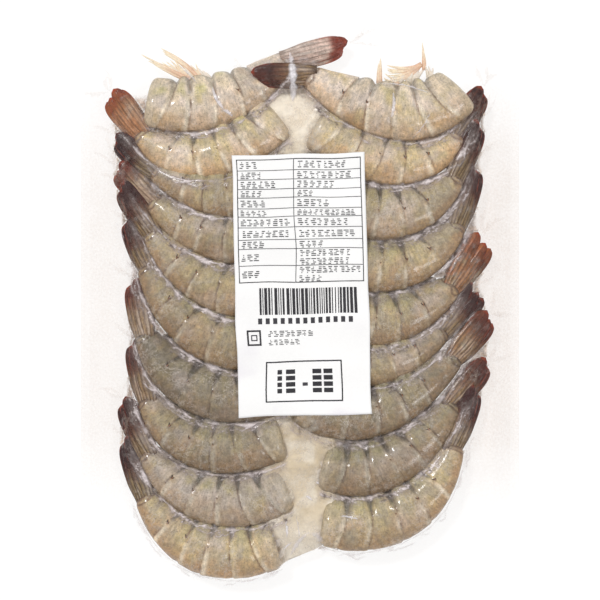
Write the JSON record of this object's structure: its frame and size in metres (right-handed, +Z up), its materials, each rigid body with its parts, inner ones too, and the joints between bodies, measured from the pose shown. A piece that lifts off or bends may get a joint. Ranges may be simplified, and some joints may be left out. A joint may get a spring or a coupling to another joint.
{
  "type": "vacuum pack of raw headless whiteleg shrimp",
  "caption": "Flat clear vacuum pack of raw shell-on headless shrimp, nested on their sides in columns with frozen glaze between, under a white paper label.",
  "frame": {"origin": "under the middle of the pouch, on the surface it lies on", "axes": "+Y toward the label's top edge, +Z up through the label"},
  "size_m": [0.2, 0.28, 0.0208],
  "materials": {
    "clear_film": "clear film drawn tight over grey-olive shrimp shells and cream glaze",
    "label_paper": "white coated paper with black print"
  },
  "bodies": {
    "root": {"pack": "clear_film", "label": "label_paper"}
  },
  "joints": []
}
